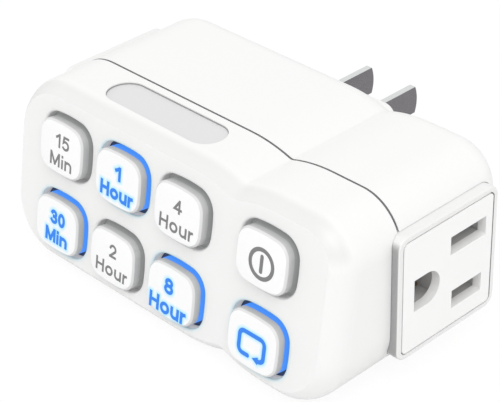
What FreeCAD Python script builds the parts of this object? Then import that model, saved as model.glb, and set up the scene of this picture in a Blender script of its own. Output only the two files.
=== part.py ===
import FreeCAD, Part
import math
import os

# Plug-in countdown timer with eight push buttons and an outlet in each end.
# Sizes are in millimetres. x runs along the housing to the right, y runs back into the wall, z runs up.
# The origin lies on the plug's seating face, midway between the two flat blades.

# Housing, seen from the front
right_reach = 49.6
left_reach = 43.7
housing_height = 40.2
mid_drop = 4.25
right_top_radius = 9.4
right_bottom_radius = 12.5
left_corner_radius = 13.0
lobe_radius = 34.0
valley_depth = 1.7
valley_radius = 1.6
valley_step = 10.24
wall = 2.0

# Housing, from front to back
face_setback = 53.88
face_lean = 9.86
roll_radius = 6.5
roll_angle = 55.0
border_radius = 0.35
seam_setback = 35.6
seam_gap = 0.5
lip_thickness = 0.9
lip_length = 2.4
lip_clearance = 0.1
rear_edge_radius = 5.0

# Shallow blank badge recess in the top of the front cover
badge_length = 32.2
badge_width = 8.7
badge_depth = 0.5
badge_end_flat = 0.02
badge_x = -7.1
badge_setback = 41.95

# Plug: seating boss, blades and ground pin
boss_height = 5.8
boss_width = 33.6
boss_tall = 26.6
boss_corner_radius = 3.0
boss_edge_radius = 0.8
blade_spacing = 12.7
blade_thickness = 1.5
blade_width = 6.35
blade_length = 17.4
blade_tip_bow = 0.6
blade_shoulder = 1.0
shoulder_setback = 6.0
shoulder_length = 3.0
line_tail_length = 14.0
ground_drop = 11.9
ground_radius = 2.38
ground_length = 20.9
ground_root_radius = 2.1
ground_root_end = 0.2
ground_tail_radius = 1.5
plug_clearance = 0.1

# Carrier that holds the blades in the boss
carrier_length = 11.0
carrier_wing_reach = 20.5
carrier_wing_tall = 12.0
carrier_wing_thickness = 3.0
carrier_stake_x = 18.3
carrier_stake_radius = 1.3
carrier_stake_stub = 0.6

# Buttons. Heights are measured outwards from the front face.
button_names = (("15_min", "1_hour", "4_hour", "power"), ("30_min", "2_hour", "8_hour", "repeat"))
left_column_inset = 17.26
right_column_inset = 17.66
column_gap = 2.44
valley_column_gap = 7.78
row_inset = 4.635
row_gap = 3.93
well_bow_radius = 32.6
well_corner_radius = 4.4
well_edge_radius = 0.5
button_gap = 0.89
cap_height = 2.0
cap_bevel = 0.43
cap_wall = 1.2
cap_post_radius = 2.0
cap_post_depth = 4.0
ring_height = 0.1
ring_wall = 1.3
ring_seat_gap = 0.15
ring_flange = 0.4
ring_flange_thickness = 1.0
skirt_wall = 1.0
skirt_length = 1.7
skirt_clearance = 0.05

# Button board, square to the buttons' travel
button_board_depth = 9.5
board_thickness = 1.6
button_board_inset = 8.1
button_board_corner = 5.0
switch_size = 6.0
switch_height = 3.5
switch_floor = 0.5
stem_radius = 1.7
stem_length = 3.5
stem_clearance = 0.15
led_length = 2.0
led_width = 1.2
led_height = 1.1
led_offset = 4.8
chip_size = 7.0
chip_height = 1.4
chip_legs = 6
chip_leg_pitch = 1.0
chip_leg_width = 0.4
chip_leg_length = 1.0
chip_leg_thickness = 0.2
link_pins = 5
link_pitch = 2.54
link_pin = 0.64
link_width = 2.5
link_height = 2.5
link_x = 7.0
link_pin_stub = 1.0
link_pin_clearance = 0.1
board_boss_radius = 2.4
board_boss_margin = 3.5
board_boss_edge = 0.8
left_boss_inset = 7.5
middle_boss_inset = 3.0
right_boss_inset = 4.0
board_screw_radius = 0.9
board_screw_length = 6.0
board_screw_clearance = 0.15
board_screw_head_radius = 1.9
board_screw_head_height = 1.2

# Screws that close the housing from behind
cover_screw_inset = 13.8
cover_screw_edge = 5.1
cover_boss_radius = 3.4
cover_boss_length = 8.4
cover_screw_radius = 1.1
cover_screw_length = 11.0
cover_screw_floor = 3.0
cover_screw_clearance = 0.2
cover_head_radius = 2.2
cover_head_height = 1.8

# Outlets. In an outlet's own frame, x runs back, y runs up and z points out of the housing.
outlet_setback = 23.7
outlet_proud = 1.7
bezel_length = 28.4
bezel_tall = 28.0
bezel_corner_radius = 2.6
bezel_edge_radius = 0.4
bezel_depth = 6.4
bezel_clearance = 0.1
ear_reach = 1.4
ear_tall = 10.0
ear_thickness = 1.2
plate_length = 25.5
plate_tall = 25.1
plate_corner_radius = 1.1
plate_thickness = 2.0
plate_groove = 0.3
ledge_width = 0.65
ledge_thickness = 1.4
slot_offset = 5.7
slot_drop = 0.4
neutral_slot_length = 10.3
line_slot_length = 8.8
slot_thickness = 4.1
ground_slot_length = 7.33
ground_slot_tall = 7.17
ground_slot_distance = 11.7
block_clearance = 0.1
block_depth = 16.0
block_step = 1.0
block_wall = 0.45
pocket_margin = 0.3

# Spring contacts behind the slots. Depths are measured from the plate's outer face.
contact_thickness = 0.5
contact_width = 6.0
contact_mouth_depth = 5.0
contact_pinch_depth = 7.0
contact_bend_depth = 10.5
contact_root_depth = 14.5
blade_contact_gaps = (2.6, 1.2, 3.1)
ground_contact_gaps = (5.2, 4.2, 6.2)
tab_thickness = 0.6
tab_depth = 19.5

# Brass strips between the plug and the outlets, and the leads to the power board
strip_thickness = 0.8
strip_width = 4.0
strip_end_depth = 16.5
neutral_strip_setback = 15.0
line_strip_setback = 17.0
ground_strip_setback = 19.0
line_strip_turn = 12.0
ground_strip_drop = 2.25
ground_leg_depth = 17.0
lead_radius = 0.8
line_lead_drop = 2.2
neutral_lead_inset = 2.5
switched_lead_x = 15.0

# Power board and what stands on it. Insets run from the board's nearest end, and from its top or bottom edge.
power_board_setback = 34.3
power_board_end_gap = 17.8
power_board_edge_gap = 4.1
post_inset = 3.0
post_radius = 2.5
relay_size = (17.0, 13.0, 13.0)
relay_inset = (14.4, 6.5)
film_capacitor_size = (16.0, 11.0, 6.0)
film_capacitor_inset = (14.4, 4.0)
component_edge_radius = 0.5
filter_capacitor_radius = 4.0
filter_capacitor_height = 12.0
filter_capacitor_inset = (12.9, 6.2)
varistor_radius = 4.6
varistor_thickness = 4.0
varistor_lift = 1.0
varistor_inset = (11.1, 5.5)
wire_radius = 0.4
wire_spacing = 5.0
fuse_radius = 1.8
fuse_length = 8.0
fuse_wire_length = 1.5
fuse_inset = 3.5

# Values that follow from the sizes above
mid_z = -mid_drop
half_tall = housing_height / 2
left_x = -left_reach
right_x = right_reach
rear_y = -boss_height
seam_front_y = -seam_setback - seam_gap / 2
seam_rear_y = -seam_setback + seam_gap / 2
outlet_y = -outlet_setback
board_back_y = -power_board_setback
board_front_y = board_back_y - board_thickness
button_board_back = -button_board_depth - board_thickness
first_column_x = left_x + left_column_inset
last_column_x = right_x - right_column_inset
column_pitch = (last_column_x - first_column_x + column_gap - valley_column_gap) / 3
well_width = column_pitch - column_gap
well_tall = half_tall - row_inset - row_gap / 2
row_pitch = well_tall + row_gap
valley_x = last_column_x - valley_step
column_x = (first_column_x, first_column_x + column_pitch, first_column_x + 2 * column_pitch, last_column_x)
row_y = (row_pitch / 2, -row_pitch / 2)
line_blade_x = blade_spacing / 2
neutral_blade_x = -blade_spacing / 2
neutral_slot_y = blade_spacing / 2 - slot_drop
line_slot_y = -blade_spacing / 2 - slot_drop
ground_slot_x = slot_offset - ground_slot_distance
bezel_wall_depth = outlet_proud + wall
block_front = plate_thickness + ledge_thickness
block_tall = blade_spacing + slot_thickness + 2 * (pocket_margin + block_wall)
cover_screw_x = (left_x + cover_screw_inset, right_x - cover_screw_inset)
cover_screw_spread = housing_height - 2 * cover_screw_edge
cover_screw_z = (mid_z - cover_screw_spread / 2, mid_z + cover_screw_spread / 2)
button_board_tall = housing_height - 2 * button_board_inset
left_boss_spread = button_board_tall - 2 * left_boss_inset
middle_boss_spread = button_board_tall - 2 * middle_boss_inset
right_boss_spread = button_board_tall - 2 * right_boss_inset
power_board_tall = housing_height - 2 * power_board_edge_gap
power_board_x = (left_x + power_board_end_gap, right_x - power_board_end_gap)
power_board_z = (mid_z - power_board_tall / 2, mid_z + power_board_tall / 2)
post_x = (power_board_x[0] + post_inset, power_board_x[1] - post_inset)
post_z = (power_board_z[0] + post_inset, power_board_z[1] - post_inset)
neutral_lead_x = power_board_x[1] - neutral_lead_inset
relay_place = (power_board_x[1] - relay_inset[0], power_board_z[1] - relay_inset[1])
varistor_place = (power_board_x[1] - varistor_inset[0], power_board_z[0] + varistor_inset[1])
film_capacitor_place = (
    power_board_x[0] + film_capacitor_inset[0], power_board_z[1] - film_capacitor_inset[1]
)
filter_capacitor_place = (
    power_board_x[0] + filter_capacitor_inset[0], power_board_z[0] + filter_capacitor_inset[1]
)
fuse_place = ((power_board_x[0] + power_board_x[1]) / 2, power_board_z[0] + fuse_inset)
far = 200.0
tolerance = 1e-4

face_frame = FreeCAD.Placement(
    FreeCAD.Vector(0, -face_setback, mid_z), FreeCAD.Rotation(FreeCAD.Vector(1, 0, 0), 90 - face_lean)
)
right_frame = FreeCAD.Placement(
    FreeCAD.Vector(right_x + outlet_proud, outlet_y, mid_z),
    FreeCAD.Rotation(FreeCAD.Vector(0, 1, 0), FreeCAD.Vector(0, 0, 1), FreeCAD.Vector(1, 0, 0)),
)
left_frame = FreeCAD.Placement(
    FreeCAD.Vector(left_x - outlet_proud, outlet_y, mid_z),
    FreeCAD.Rotation(FreeCAD.Vector(0, 1, 0), FreeCAD.Vector(0, 0, -1), FreeCAD.Vector(-1, 0, 0)),
)


def vec(x, y, z):
    return FreeCAD.Vector(x, y, z)


def placed(shape, frame):
    """A copy of a shape drawn in a frame's own axes, set where that frame is."""
    moved = shape.copy()
    moved.Placement = frame.multiply(moved.Placement)
    return moved


def save(node, shapes):
    """Writes one sub-part: a single solid, or a group of separate alike solids."""
    shape = shapes[0] if len(shapes) == 1 else Part.makeCompound(shapes)
    if len(shape.Solids) != len(shapes) or not shape.isValid():
        raise ValueError(node + " did not come out as whole solids")
    shape.exportStep("parts/" + node + ".step")
    print(node, len(shapes), "solid(s),", round(shape.Volume, 1), "mm3")


def around(middle, size):
    """The two ends of a length centred on a place."""
    return (middle - size / 2, middle + size / 2)


def box(x_range, y_range, z_range):
    size = [high - low for low, high in (x_range, y_range, z_range)]
    return Part.makeBox(*size, vec(x_range[0], y_range[0], z_range[0]))


def rounded_box(x_range, y_range, z_range, radius, direction):
    """A box whose four edges along one direction are rounded."""
    plain = box(x_range, y_range, z_range)
    along = [edge for edge in plain.Edges if abs(edge.tangentAt(edge.FirstParameter).dot(direction)) > 0.9]
    return plain.makeFillet(radius, along)


def rod(x, z, radius, y_range):
    """A round bar along y."""
    return Part.makeCylinder(radius, y_range[1] - y_range[0], vec(x, y_range[0], z), vec(0, 1, 0))


def peg(x, y, radius, z_range):
    """A round bar along z."""
    return Part.makeCylinder(radius, z_range[1] - z_range[0], vec(x, y, z_range[0]))


def edges_at_height(shape, frame, height, inside=None):
    """The edges that lie at one height in a frame, or only those whose middle passes a test."""
    to_frame = frame.inverse()
    found = []
    for edge in shape.Edges:
        middle = edge.valueAt((edge.FirstParameter + edge.LastParameter) / 2)
        points = [to_frame.multVec(p) for p in [middle] + [v.Point for v in edge.Vertexes]]
        level = all(abs(point.z - height) < tolerance for point in points)
        if level and (inside is None or inside(points[0])):
            found.append(edge)
    return found


def outline_edge(start, via, end, lift):
    """A line, or an arc through a middle point. The lift turns flat points into points in space."""
    if via is None:
        return Part.LineSegment(lift(start), lift(end)).toShape()
    return Part.Arc(lift(start), lift(via), lift(end)).toShape()


def toward(start, end, distance):
    """The point a given distance from start on the way to end."""
    length = math.dist(start, end)
    return tuple(a + (b - a) * distance / length for a, b in zip(start, end))


def arc_about(centre, start_angle, end_angle, radius):
    """The start, middle and end of an arc given by its angles in degrees."""
    angles = [math.radians(a) for a in (start_angle, (start_angle + end_angle) / 2, end_angle)]
    return [(centre[0] + radius * math.cos(a), centre[1] + radius * math.sin(a)) for a in angles]


def half_outline(inset, right_corner_radius):
    """The upper half of the housing's outline: two level lobes with a valley between them."""
    valley_centre = (valley_x, half_tall - valley_depth + valley_radius)
    lobe_middle = half_tall - lobe_radius
    reach = lobe_radius + valley_radius
    shift = math.sqrt(reach ** 2 - (valley_centre[1] - lobe_middle) ** 2)
    steep = math.degrees(math.asin(shift / reach))
    right_corner = (right_x - right_corner_radius, half_tall - right_corner_radius)
    left_corner = (left_x + left_corner_radius, half_tall - left_corner_radius)
    arcs = [
        arc_about(right_corner, 0, 90, right_corner_radius - inset),
        arc_about((valley_x + shift, lobe_middle), 90, 90 + steep, lobe_radius - inset),
        arc_about(valley_centre, 270 + steep, 270 - steep, valley_radius + inset),
        arc_about((valley_x - shift, lobe_middle), 90 - steep, 90, lobe_radius - inset),
        arc_about(left_corner, 90, 180, left_corner_radius - inset),
    ]
    pieces = [arcs[0]]
    for previous, arc in zip(arcs, arcs[1:]):
        if math.dist(previous[2], arc[0]) > tolerance:
            pieces.append((previous[2], None, arc[0]))
        pieces.append(arc)
    return pieces


def housing_bar(inset, y_range):
    """The housing's outline, drawn in by an inset and run from front to back."""
    upper = half_outline(inset, right_top_radius)
    lower = []
    for piece in reversed(half_outline(inset, right_bottom_radius)):
        lower.append([None if p is None else (p[0], -p[1]) for p in reversed(piece)])
    pieces = upper + [(upper[-1][2], None, lower[0][0])] + lower + [(lower[-1][2], None, upper[0][0])]

    def lift(point):
        return vec(point[0], y_range[0], mid_z + point[1])

    outline = Part.Wire([outline_edge(*piece, lift) for piece in pieces])
    return Part.Face(outline).extrude(vec(0, y_range[1] - y_range[0], 0))


def beyond_face(height):
    """Everything further out than a height over the front face."""
    return placed(box((-far, far), (-far, far), (height, far)), face_frame)


def rolled_front(inset, rear):
    """The front of the housing with its rolled edge, cut off level with the face."""
    peak = roll_radius * (1 - math.sin(math.radians(roll_angle))) - inset
    bar = housing_bar(inset, (-face_setback - half_tall, rear)).cut(beyond_face(peak))
    rolled = bar.makeFillet(roll_radius - inset, edges_at_height(bar, face_frame, peak))
    return rolled.cut(beyond_face(-inset))


def squircle(outset, z_range):
    """The outline shared by wells, caps and rings, drawn out by an outset, as an upright block."""
    half_x, half_y = well_width / 2, well_tall / 2
    top_centre = (0.0, half_y - well_bow_radius)
    side_centre = (half_x - well_bow_radius, 0.0)
    across = (side_centre[0] - top_centre[0], side_centre[1] - top_centre[1])
    span = math.hypot(*across)
    rise = math.sqrt((well_bow_radius - well_corner_radius) ** 2 - (span / 2) ** 2) / span
    corner_centre = (
        (top_centre[0] + side_centre[0]) / 2 + across[1] * rise,
        (top_centre[1] + side_centre[1]) / 2 - across[0] * rise,
    )
    side_joint = toward(side_centre, corner_centre, well_bow_radius + outset)
    top_joint = toward(top_centre, corner_centre, well_bow_radius + outset)
    chord_middle = tuple((a + b) / 2 for a, b in zip(side_joint, top_joint))
    corner_middle = toward(corner_centre, chord_middle, well_corner_radius + outset)
    corners = []
    for sign_x, sign_y in ((1, 1), (-1, 1), (-1, -1), (1, -1)):
        arc = [(p[0] * sign_x, p[1] * sign_y) for p in (side_joint, corner_middle, top_joint)]
        corners.append(arc if sign_x == sign_y else arc[::-1])
    wide, high = half_x + outset, half_y + outset
    bow_middles = ((0, high), (-wide, 0), (0, -high), (wide, 0))
    pieces = []
    for index, corner in enumerate(corners):
        pieces.append(corner)
        pieces.append((corner[2], bow_middles[index], corners[(index + 1) % 4][0]))
    outline = Part.Wire([outline_edge(*piece, lambda p: vec(p[0], p[1], z_range[0])) for piece in pieces])
    return Part.Face(outline).extrude(vec(0, 0, z_range[1] - z_range[0]))


def button_places():
    """Name, x and y on the face for each button."""
    places = []
    for names, y in zip(button_names, row_y):
        for name, x in zip(names, column_x):
            places.append((name, x, y))
    return places


def board_boss_places():
    """Where the button board is screwed down: beside the end columns and in the gap before the last one."""
    left = column_x[0] - well_width / 2 - board_boss_margin
    middle = (column_x[2] + column_x[3]) / 2
    right = column_x[3] + well_width / 2 + board_boss_margin
    places = []
    for x, spread in ((left, left_boss_spread), (middle, middle_boss_spread), (right, right_boss_spread)):
        places += [(x, -spread / 2), (x, spread / 2)]
    return places


def screw(x, y, length, radius, head_radius, head_height, seat):
    """A pan-head screw along z, its head standing down from the seat and its shank up from it."""
    head = peg(x, y, head_radius, (seat - head_height, seat))
    head = head.makeFillet(head_height / 3, edges_at_height(head, FreeCAD.Placement(), seat - head_height))
    return head.fuse(peg(x, y, radius, (seat, seat + length)))


def bezel_ears(clearance):
    """The bar across the bezel whose two ends hook behind the housing's wall."""
    length = bezel_length + 2 * (ear_reach + clearance)
    ear_range = (-bezel_wall_depth - ear_thickness - clearance, -bezel_wall_depth)
    return box(around(0, length), around(0, ear_tall + 2 * clearance), ear_range)


def outlet_cutout(frame):
    grow = 2 * bezel_clearance
    hole = rounded_box(
        around(0, bezel_length + grow), around(0, bezel_tall + grow),
        (-bezel_depth - wall, far), bezel_corner_radius + bezel_clearance, vec(0, 0, 1),
    )
    return placed(hole.fuse(bezel_ears(bezel_clearance)), frame)


def make_front_cover():
    outer = rolled_front(0, seam_front_y)
    outer = outer.makeFillet(border_radius, edges_at_height(outer, face_frame, 0))
    cover = outer.cut(rolled_front(wall, 0))
    for x, y in board_boss_places():
        cover = cover.fuse(placed(peg(x, y, board_boss_radius, (-button_board_depth, -wall)), face_frame))
    for x in cover_screw_x:
        for z in cover_screw_z:
            cover = cover.fuse(rod(x, z, cover_boss_radius, (seam_front_y - cover_boss_length, seam_front_y)))
    cover = cover.common(outer)
    lip_front_y = seam_rear_y - lip_length
    rebate_range = (lip_front_y - lip_clearance, 0)
    rebate = housing_bar(wall - lip_thickness - lip_clearance, rebate_range)
    cover = cover.cut(rebate.cut(housing_bar(wall + lip_clearance, rebate_range)))
    for x, y in board_boss_places():
        pilot = peg(x, y, board_screw_radius, (button_board_back, button_board_back + board_screw_length))
        cover = cover.cut(placed(pilot, face_frame))
    shank_back_y = seam_rear_y + cover_screw_floor
    for x in cover_screw_x:
        for z in cover_screw_z:
            cover = cover.cut(rod(x, z, cover_screw_radius, (shank_back_y - cover_screw_length, 0)))
    for name, x, y in button_places():
        well = squircle(0, (-2 * wall, wall))
        well.translate(vec(x, y, 0))
        cover = cover.cut(placed(well, face_frame))
    for frame in (right_frame, left_frame):
        cover = cover.cut(outlet_cutout(frame))
    badge = rounded_box(
        around(badge_x, badge_length), around(-badge_setback, badge_width),
        (mid_z + half_tall - badge_depth, far), (badge_width - badge_end_flat) / 2, vec(0, 0, 1),
    )
    cover = cover.cut(badge)

    def on_a_well(point):
        reach_x = well_width / 2 + tolerance
        reach_y = well_tall / 2 + tolerance
        offsets = [(abs(point.x - x), abs(point.y - y)) for name, x, y in button_places()]
        return any(dx < reach_x and dy < reach_y for dx, dy in offsets)

    cover = cover.makeFillet(well_edge_radius, edges_at_height(cover, face_frame, 0, on_a_well))
    save("front_cover", [cover])


def make_rear_housing():
    to_wall = FreeCAD.Placement(vec(0, 0, 0), FreeCAD.Rotation(vec(1, 0, 0), -90))
    outer = housing_bar(0, (seam_rear_y, rear_y))
    outer = outer.makeFillet(rear_edge_radius, edges_at_height(outer, to_wall, rear_y))
    boss = rounded_box(
        around(0, boss_width), (rear_y - wall, 0), around(mid_z, boss_tall), boss_corner_radius, vec(0, 1, 0)
    )
    boss = boss.makeFillet(boss_edge_radius, edges_at_height(boss, to_wall, 0))
    lip = housing_bar(wall - lip_thickness, (seam_rear_y - lip_length, seam_rear_y))
    inner_rear_y = rear_y - wall
    inner = housing_bar(wall, (-seam_setback - lip_length - wall, inner_rear_y))
    inner = inner.makeFillet(rear_edge_radius - wall, edges_at_height(inner, to_wall, inner_rear_y))
    hollow = box(
        around(0, boss_width - 2 * wall), (inner_rear_y - wall, -wall), around(mid_z, boss_tall - 2 * wall)
    )
    shell = outer.fuse([boss, lip]).cut([inner, hollow])
    posts = []
    for x in post_x:
        for z in post_z:
            posts.append(rod(x, z, post_radius, (board_back_y, rear_y - wall / 2)))
    for x in cover_screw_x:
        for z in cover_screw_z:
            posts.append(rod(x, z, cover_boss_radius, (seam_rear_y, rear_y - wall / 2)))
    stake_front_y = inner_rear_y - carrier_wing_thickness - carrier_stake_stub
    for x in (-carrier_stake_x, carrier_stake_x):
        posts.append(rod(x, mid_z, carrier_stake_radius, (stake_front_y, rear_y - wall / 2)))
    shell = shell.fuse(posts)
    holes = [outlet_cutout(right_frame), outlet_cutout(left_frame)]
    for x in post_x:
        for z in post_z:
            holes.append(rod(x, z, board_screw_radius, (board_front_y, board_front_y + board_screw_length)))
    for x in cover_screw_x:
        for z in cover_screw_z:
            holes.append(rod(x, z, cover_screw_radius + cover_screw_clearance, (-far, rear_y)))
            recess_range = (seam_rear_y + cover_screw_floor, 0)
            holes.append(rod(x, z, cover_head_radius + cover_screw_clearance, recess_range))
    grow = 2 * plug_clearance
    for x in (line_blade_x, neutral_blade_x):
        holes.append(box(around(x, blade_thickness + grow), (-2 * wall, wall), around(0, blade_width + grow)))
    holes.append(rod(0, -ground_drop, ground_radius + plug_clearance, (-2 * wall, wall)))
    save("rear_housing", [shell.cut(holes)])


def make_cover_screws():
    turn = FreeCAD.Rotation(vec(1, 0, 0), 90)
    screws = []
    for x in cover_screw_x:
        for z in cover_screw_z:
            one = screw(0, 0, cover_screw_length, cover_screw_radius, cover_head_radius, cover_head_height, 0)
            screws.append(placed(one, FreeCAD.Placement(vec(x, seam_rear_y + cover_screw_floor, z), turn)))
    save("cover_screws", screws)


def blade(x, tail_length):
    """A flat blade with a bowed tip, its shoulder and its tail inside the housing."""
    half = blade_width / 2
    edge = blade_length - blade_tip_bow
    corners = [(edge, half), (-tail_length, half), (-tail_length, -half), (edge, -half)]
    pieces = [(start, None, end) for start, end in zip(corners, corners[1:])]
    pieces.append((corners[-1], (blade_length, 0), corners[0]))
    side_x = x - blade_thickness / 2
    outline = Part.Wire([outline_edge(*piece, lambda p: vec(side_x, p[0], p[1])) for piece in pieces])
    flat = Part.Face(outline).extrude(vec(blade_thickness, 0, 0))
    grow = 2 * blade_shoulder
    shoulder_range = (-shoulder_setback - shoulder_length, -shoulder_setback)
    return flat.fuse(box(around(x, blade_thickness + grow), shoulder_range, around(0, blade_width + grow)))


def make_plug():
    lead = rod(line_blade_x, -line_lead_drop, lead_radius, (board_front_y - lead_radius, -line_tail_length))
    line = blade(line_blade_x, line_tail_length).fuse(lead)
    neutral = blade(neutral_blade_x, neutral_strip_setback)
    shaft = rod(0, -ground_drop, ground_radius, (ground_root_end, ground_length - ground_radius))
    root = rod(0, -ground_drop, ground_root_radius, (-shoulder_setback, ground_root_end))
    tip = Part.makeSphere(ground_radius, vec(0, ground_length - ground_radius, -ground_drop))
    collar_range = (-shoulder_setback - shoulder_length, -shoulder_setback)
    collar = rod(0, -ground_drop, ground_radius + blade_shoulder, collar_range)
    tail = rod(0, -ground_drop, ground_tail_radius, (-ground_strip_setback, -shoulder_setback))
    ground = shaft.fuse([tip, root, collar, tail]).removeSplitter()
    fit = 2 * (wall + plug_clearance)
    carrier_range = (-wall - carrier_length, -wall)
    carrier = box(around(0, boss_width - fit), carrier_range, around(mid_z, boss_tall - fit))
    wing_back_y = rear_y - wall
    wing_range = (wing_back_y - carrier_wing_thickness, wing_back_y)
    wings = box(around(0, 2 * carrier_wing_reach), wing_range, around(mid_z, carrier_wing_tall))
    carrier = carrier.fuse(wings)
    for x in (-carrier_stake_x, carrier_stake_x):
        carrier = carrier.cut(rod(x, mid_z, carrier_stake_radius + plug_clearance, (-far, 0)))
    save("line_blade", [line])
    save("neutral_blade", [neutral])
    save("ground_pin", [ground])
    save("blade_carrier", [carrier.cut([line, neutral, ground])])


def make_bezel(side, frame):
    outward = vec(0, 0, 1)
    ring = rounded_box(
        around(0, bezel_length), around(0, bezel_tall), (-bezel_depth, 0), bezel_corner_radius, outward
    )
    ring = ring.makeFillet(bezel_edge_radius, edges_at_height(ring, FreeCAD.Placement(), 0))
    ring = ring.fuse(bezel_ears(0))
    grow = 2 * plate_groove
    window_x, window_y = around(0, plate_length + grow), around(0, plate_tall + grow)
    inner_x = around(0, plate_length + grow - 2 * ledge_width)
    inner_y = around(0, plate_tall + grow - 2 * ledge_width)
    window_radius = plate_corner_radius + plate_groove
    ring = ring.cut([
        rounded_box(window_x, window_y, (-plate_thickness, far), window_radius, outward),
        rounded_box(window_x, window_y, (-far, -block_front), window_radius, outward),
        rounded_box(inner_x, inner_y, (-far, far), window_radius - ledge_width, outward),
    ])
    save(side + "_outlet_bezel", [placed(ring, frame)])


def make_plate(side, frame):
    through = (-2 * plate_thickness, plate_thickness)
    plate = rounded_box(
        around(0, plate_length), around(0, plate_tall), (-plate_thickness, 0),
        plate_corner_radius, vec(0, 0, 1),
    )
    round_radius = ground_slot_tall / 2
    flat_x = ground_slot_x - ground_slot_length / 2
    round_x = ground_slot_x + ground_slot_length / 2 - round_radius
    plate = plate.cut([
        box(around(slot_offset, neutral_slot_length), around(neutral_slot_y, slot_thickness), through),
        box(around(slot_offset, line_slot_length), around(line_slot_y, slot_thickness), through),
        box((flat_x, round_x), around(-slot_drop, ground_slot_tall), through),
        peg(round_x, -slot_drop, round_radius, through),
    ])
    save(side + "_outlet_plate", [placed(plate, frame)])


def spring_contact(x, y, gaps):
    """Two leaves that pinch together behind the mouth and meet in a web at the root."""
    depths = (contact_mouth_depth, contact_pinch_depth, contact_bend_depth, contact_root_depth)
    half_gaps = [gap / 2 for gap in gaps] + [gaps[-1] / 2]
    web_reach = gaps[-1] / 2 + contact_thickness
    web_range = (-contact_root_depth, contact_thickness - contact_root_depth)
    pieces = []
    for side in (-1, 1):
        inner = [(half, -depth) for half, depth in zip(half_gaps, depths)]
        outer = [(half + contact_thickness, depth) for half, depth in reversed(inner)]
        corners = [vec(x - contact_width / 2, y + side * p[0], p[1]) for p in inner + outer + inner[:1]]
        pieces.append(Part.Face(Part.makePolygon(corners)).extrude(vec(contact_width, 0, 0)))
    web = box(around(x, contact_width), around(y, 2 * web_reach), web_range)
    return web.fuse(pieces)


def make_contacts(side, frame):
    contacts = {}
    web_front = contact_thickness - contact_root_depth
    for name, y, setback in (
        ("line", line_slot_y, line_strip_setback),
        ("neutral", neutral_slot_y, neutral_strip_setback),
    ):
        strip_x = outlet_setback - setback - strip_thickness
        tab = box((strip_x - tab_thickness, strip_x), around(y, strip_width), (-tab_depth, web_front))
        contacts[name] = spring_contact(slot_offset, y, blade_contact_gaps).fuse(tab)
    tab_range = (-ground_leg_depth, web_front)
    tab = box(around(ground_slot_x, tab_thickness), around(-slot_drop, strip_width), tab_range)
    contacts["ground"] = spring_contact(ground_slot_x, -slot_drop, ground_contact_gaps).fuse(tab)
    for name, contact in contacts.items():
        save(side + "_" + name + "_contact", [placed(contact, frame)])
    return list(contacts.values())


def make_contact_block(side, frame, contacts):
    window_x = plate_length + 2 * plate_groove
    window_y = plate_tall + 2 * plate_groove
    fit = 2 * block_clearance
    flange = rounded_box(
        around(0, window_x - fit), around(0, window_y - fit), (-bezel_depth, -block_front),
        plate_corner_radius, vec(0, 0, 1),
    )
    island_fit = fit + 2 * ledge_width
    island = rounded_box(
        around(0, window_x - island_fit), around(0, window_y - island_fit), (-block_front, -plate_thickness),
        plate_corner_radius, vec(0, 0, 1),
    )
    body_x = around(0, window_x - 2 * block_step)
    body = box(body_x, around(-slot_drop, block_tall), (-block_depth, -block_front))
    block = flange.fuse([island, body])
    pocket_range = (-contact_root_depth, -plate_thickness)
    grow = 2 * pocket_margin
    pockets = []
    for length, y in ((neutral_slot_length, neutral_slot_y), (line_slot_length, line_slot_y)):
        pocket_x = around(slot_offset, length + grow)
        pockets.append(box(pocket_x, around(y, slot_thickness + grow), pocket_range))
    ground_x = around(ground_slot_x, ground_slot_length + grow)
    pockets.append(box(ground_x, around(-slot_drop, ground_slot_tall + grow), pocket_range))
    save(side + "_contact_block", [placed(block.cut(pockets).cut(contacts), frame)])


def strip_run(x_range, z_range, setback):
    return box(x_range, (-setback - strip_thickness, -setback), z_range)


def make_strips():
    right_end = right_x + outlet_proud - strip_end_depth
    left_end = left_x - outlet_proud + strip_end_depth
    half = strip_width / 2
    right_line_z, left_line_z = mid_z + line_slot_y, mid_z - line_slot_y
    setback = line_strip_setback
    line = strip_run((line_strip_turn - half, right_end), around(right_line_z, strip_width), setback)
    line = line.fuse([
        strip_run(around(line_strip_turn, strip_width), (right_line_z - half, left_line_z + half), setback),
        strip_run((left_end, line_strip_turn + half), around(left_line_z, strip_width), setback),
        rod(switched_lead_x, right_line_z, lead_radius, (board_front_y - lead_radius, -setback)),
    ])
    right_z, left_z = mid_z + neutral_slot_y, mid_z - neutral_slot_y
    setback = neutral_strip_setback
    neutral = strip_run((neutral_blade_x - half, right_end), around(right_z, strip_width), setback)
    neutral = neutral.fuse([
        strip_run(around(neutral_blade_x, strip_width), (left_z - half, right_z + half), setback),
        strip_run((left_end, neutral_blade_x + half), around(left_z, strip_width), setback),
        rod(neutral_lead_x, right_z, lead_radius, (board_front_y - lead_radius, -setback)),
    ])
    right_leg = right_x + outlet_proud - ground_leg_depth
    left_leg = left_x - outlet_proud + ground_leg_depth
    low_z = mid_z - ground_strip_drop - half
    setback = ground_strip_setback
    leg_y = (outlet_y + ground_slot_x - half, -setback)
    leg_z = (low_z, mid_z + half)
    ground = strip_run((left_leg, right_leg), (low_z, low_z + strip_width), setback).fuse([
        strip_run(around(0, strip_width), (-ground_drop - half, low_z + half), setback),
        box((right_leg - strip_thickness, right_leg), leg_y, leg_z),
        box((left_leg, left_leg + strip_thickness), leg_y, leg_z),
    ])
    save("line_strip", [line.removeSplitter()])
    save("neutral_strip", [neutral.removeSplitter()])
    save("ground_strip", [ground.removeSplitter()])
    return line, neutral


def component_box(size, place):
    """A block-shaped component on the power board, with softened edges away from the board."""
    block = box(around(place[0], size[0]), (board_back_y, board_back_y + size[1]), around(place[1], size[2]))
    upper = [edge for edge in block.Edges if edge.BoundBox.YMax > board_back_y + size[1] / 2]
    return block.makeFillet(component_edge_radius, upper)


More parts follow.
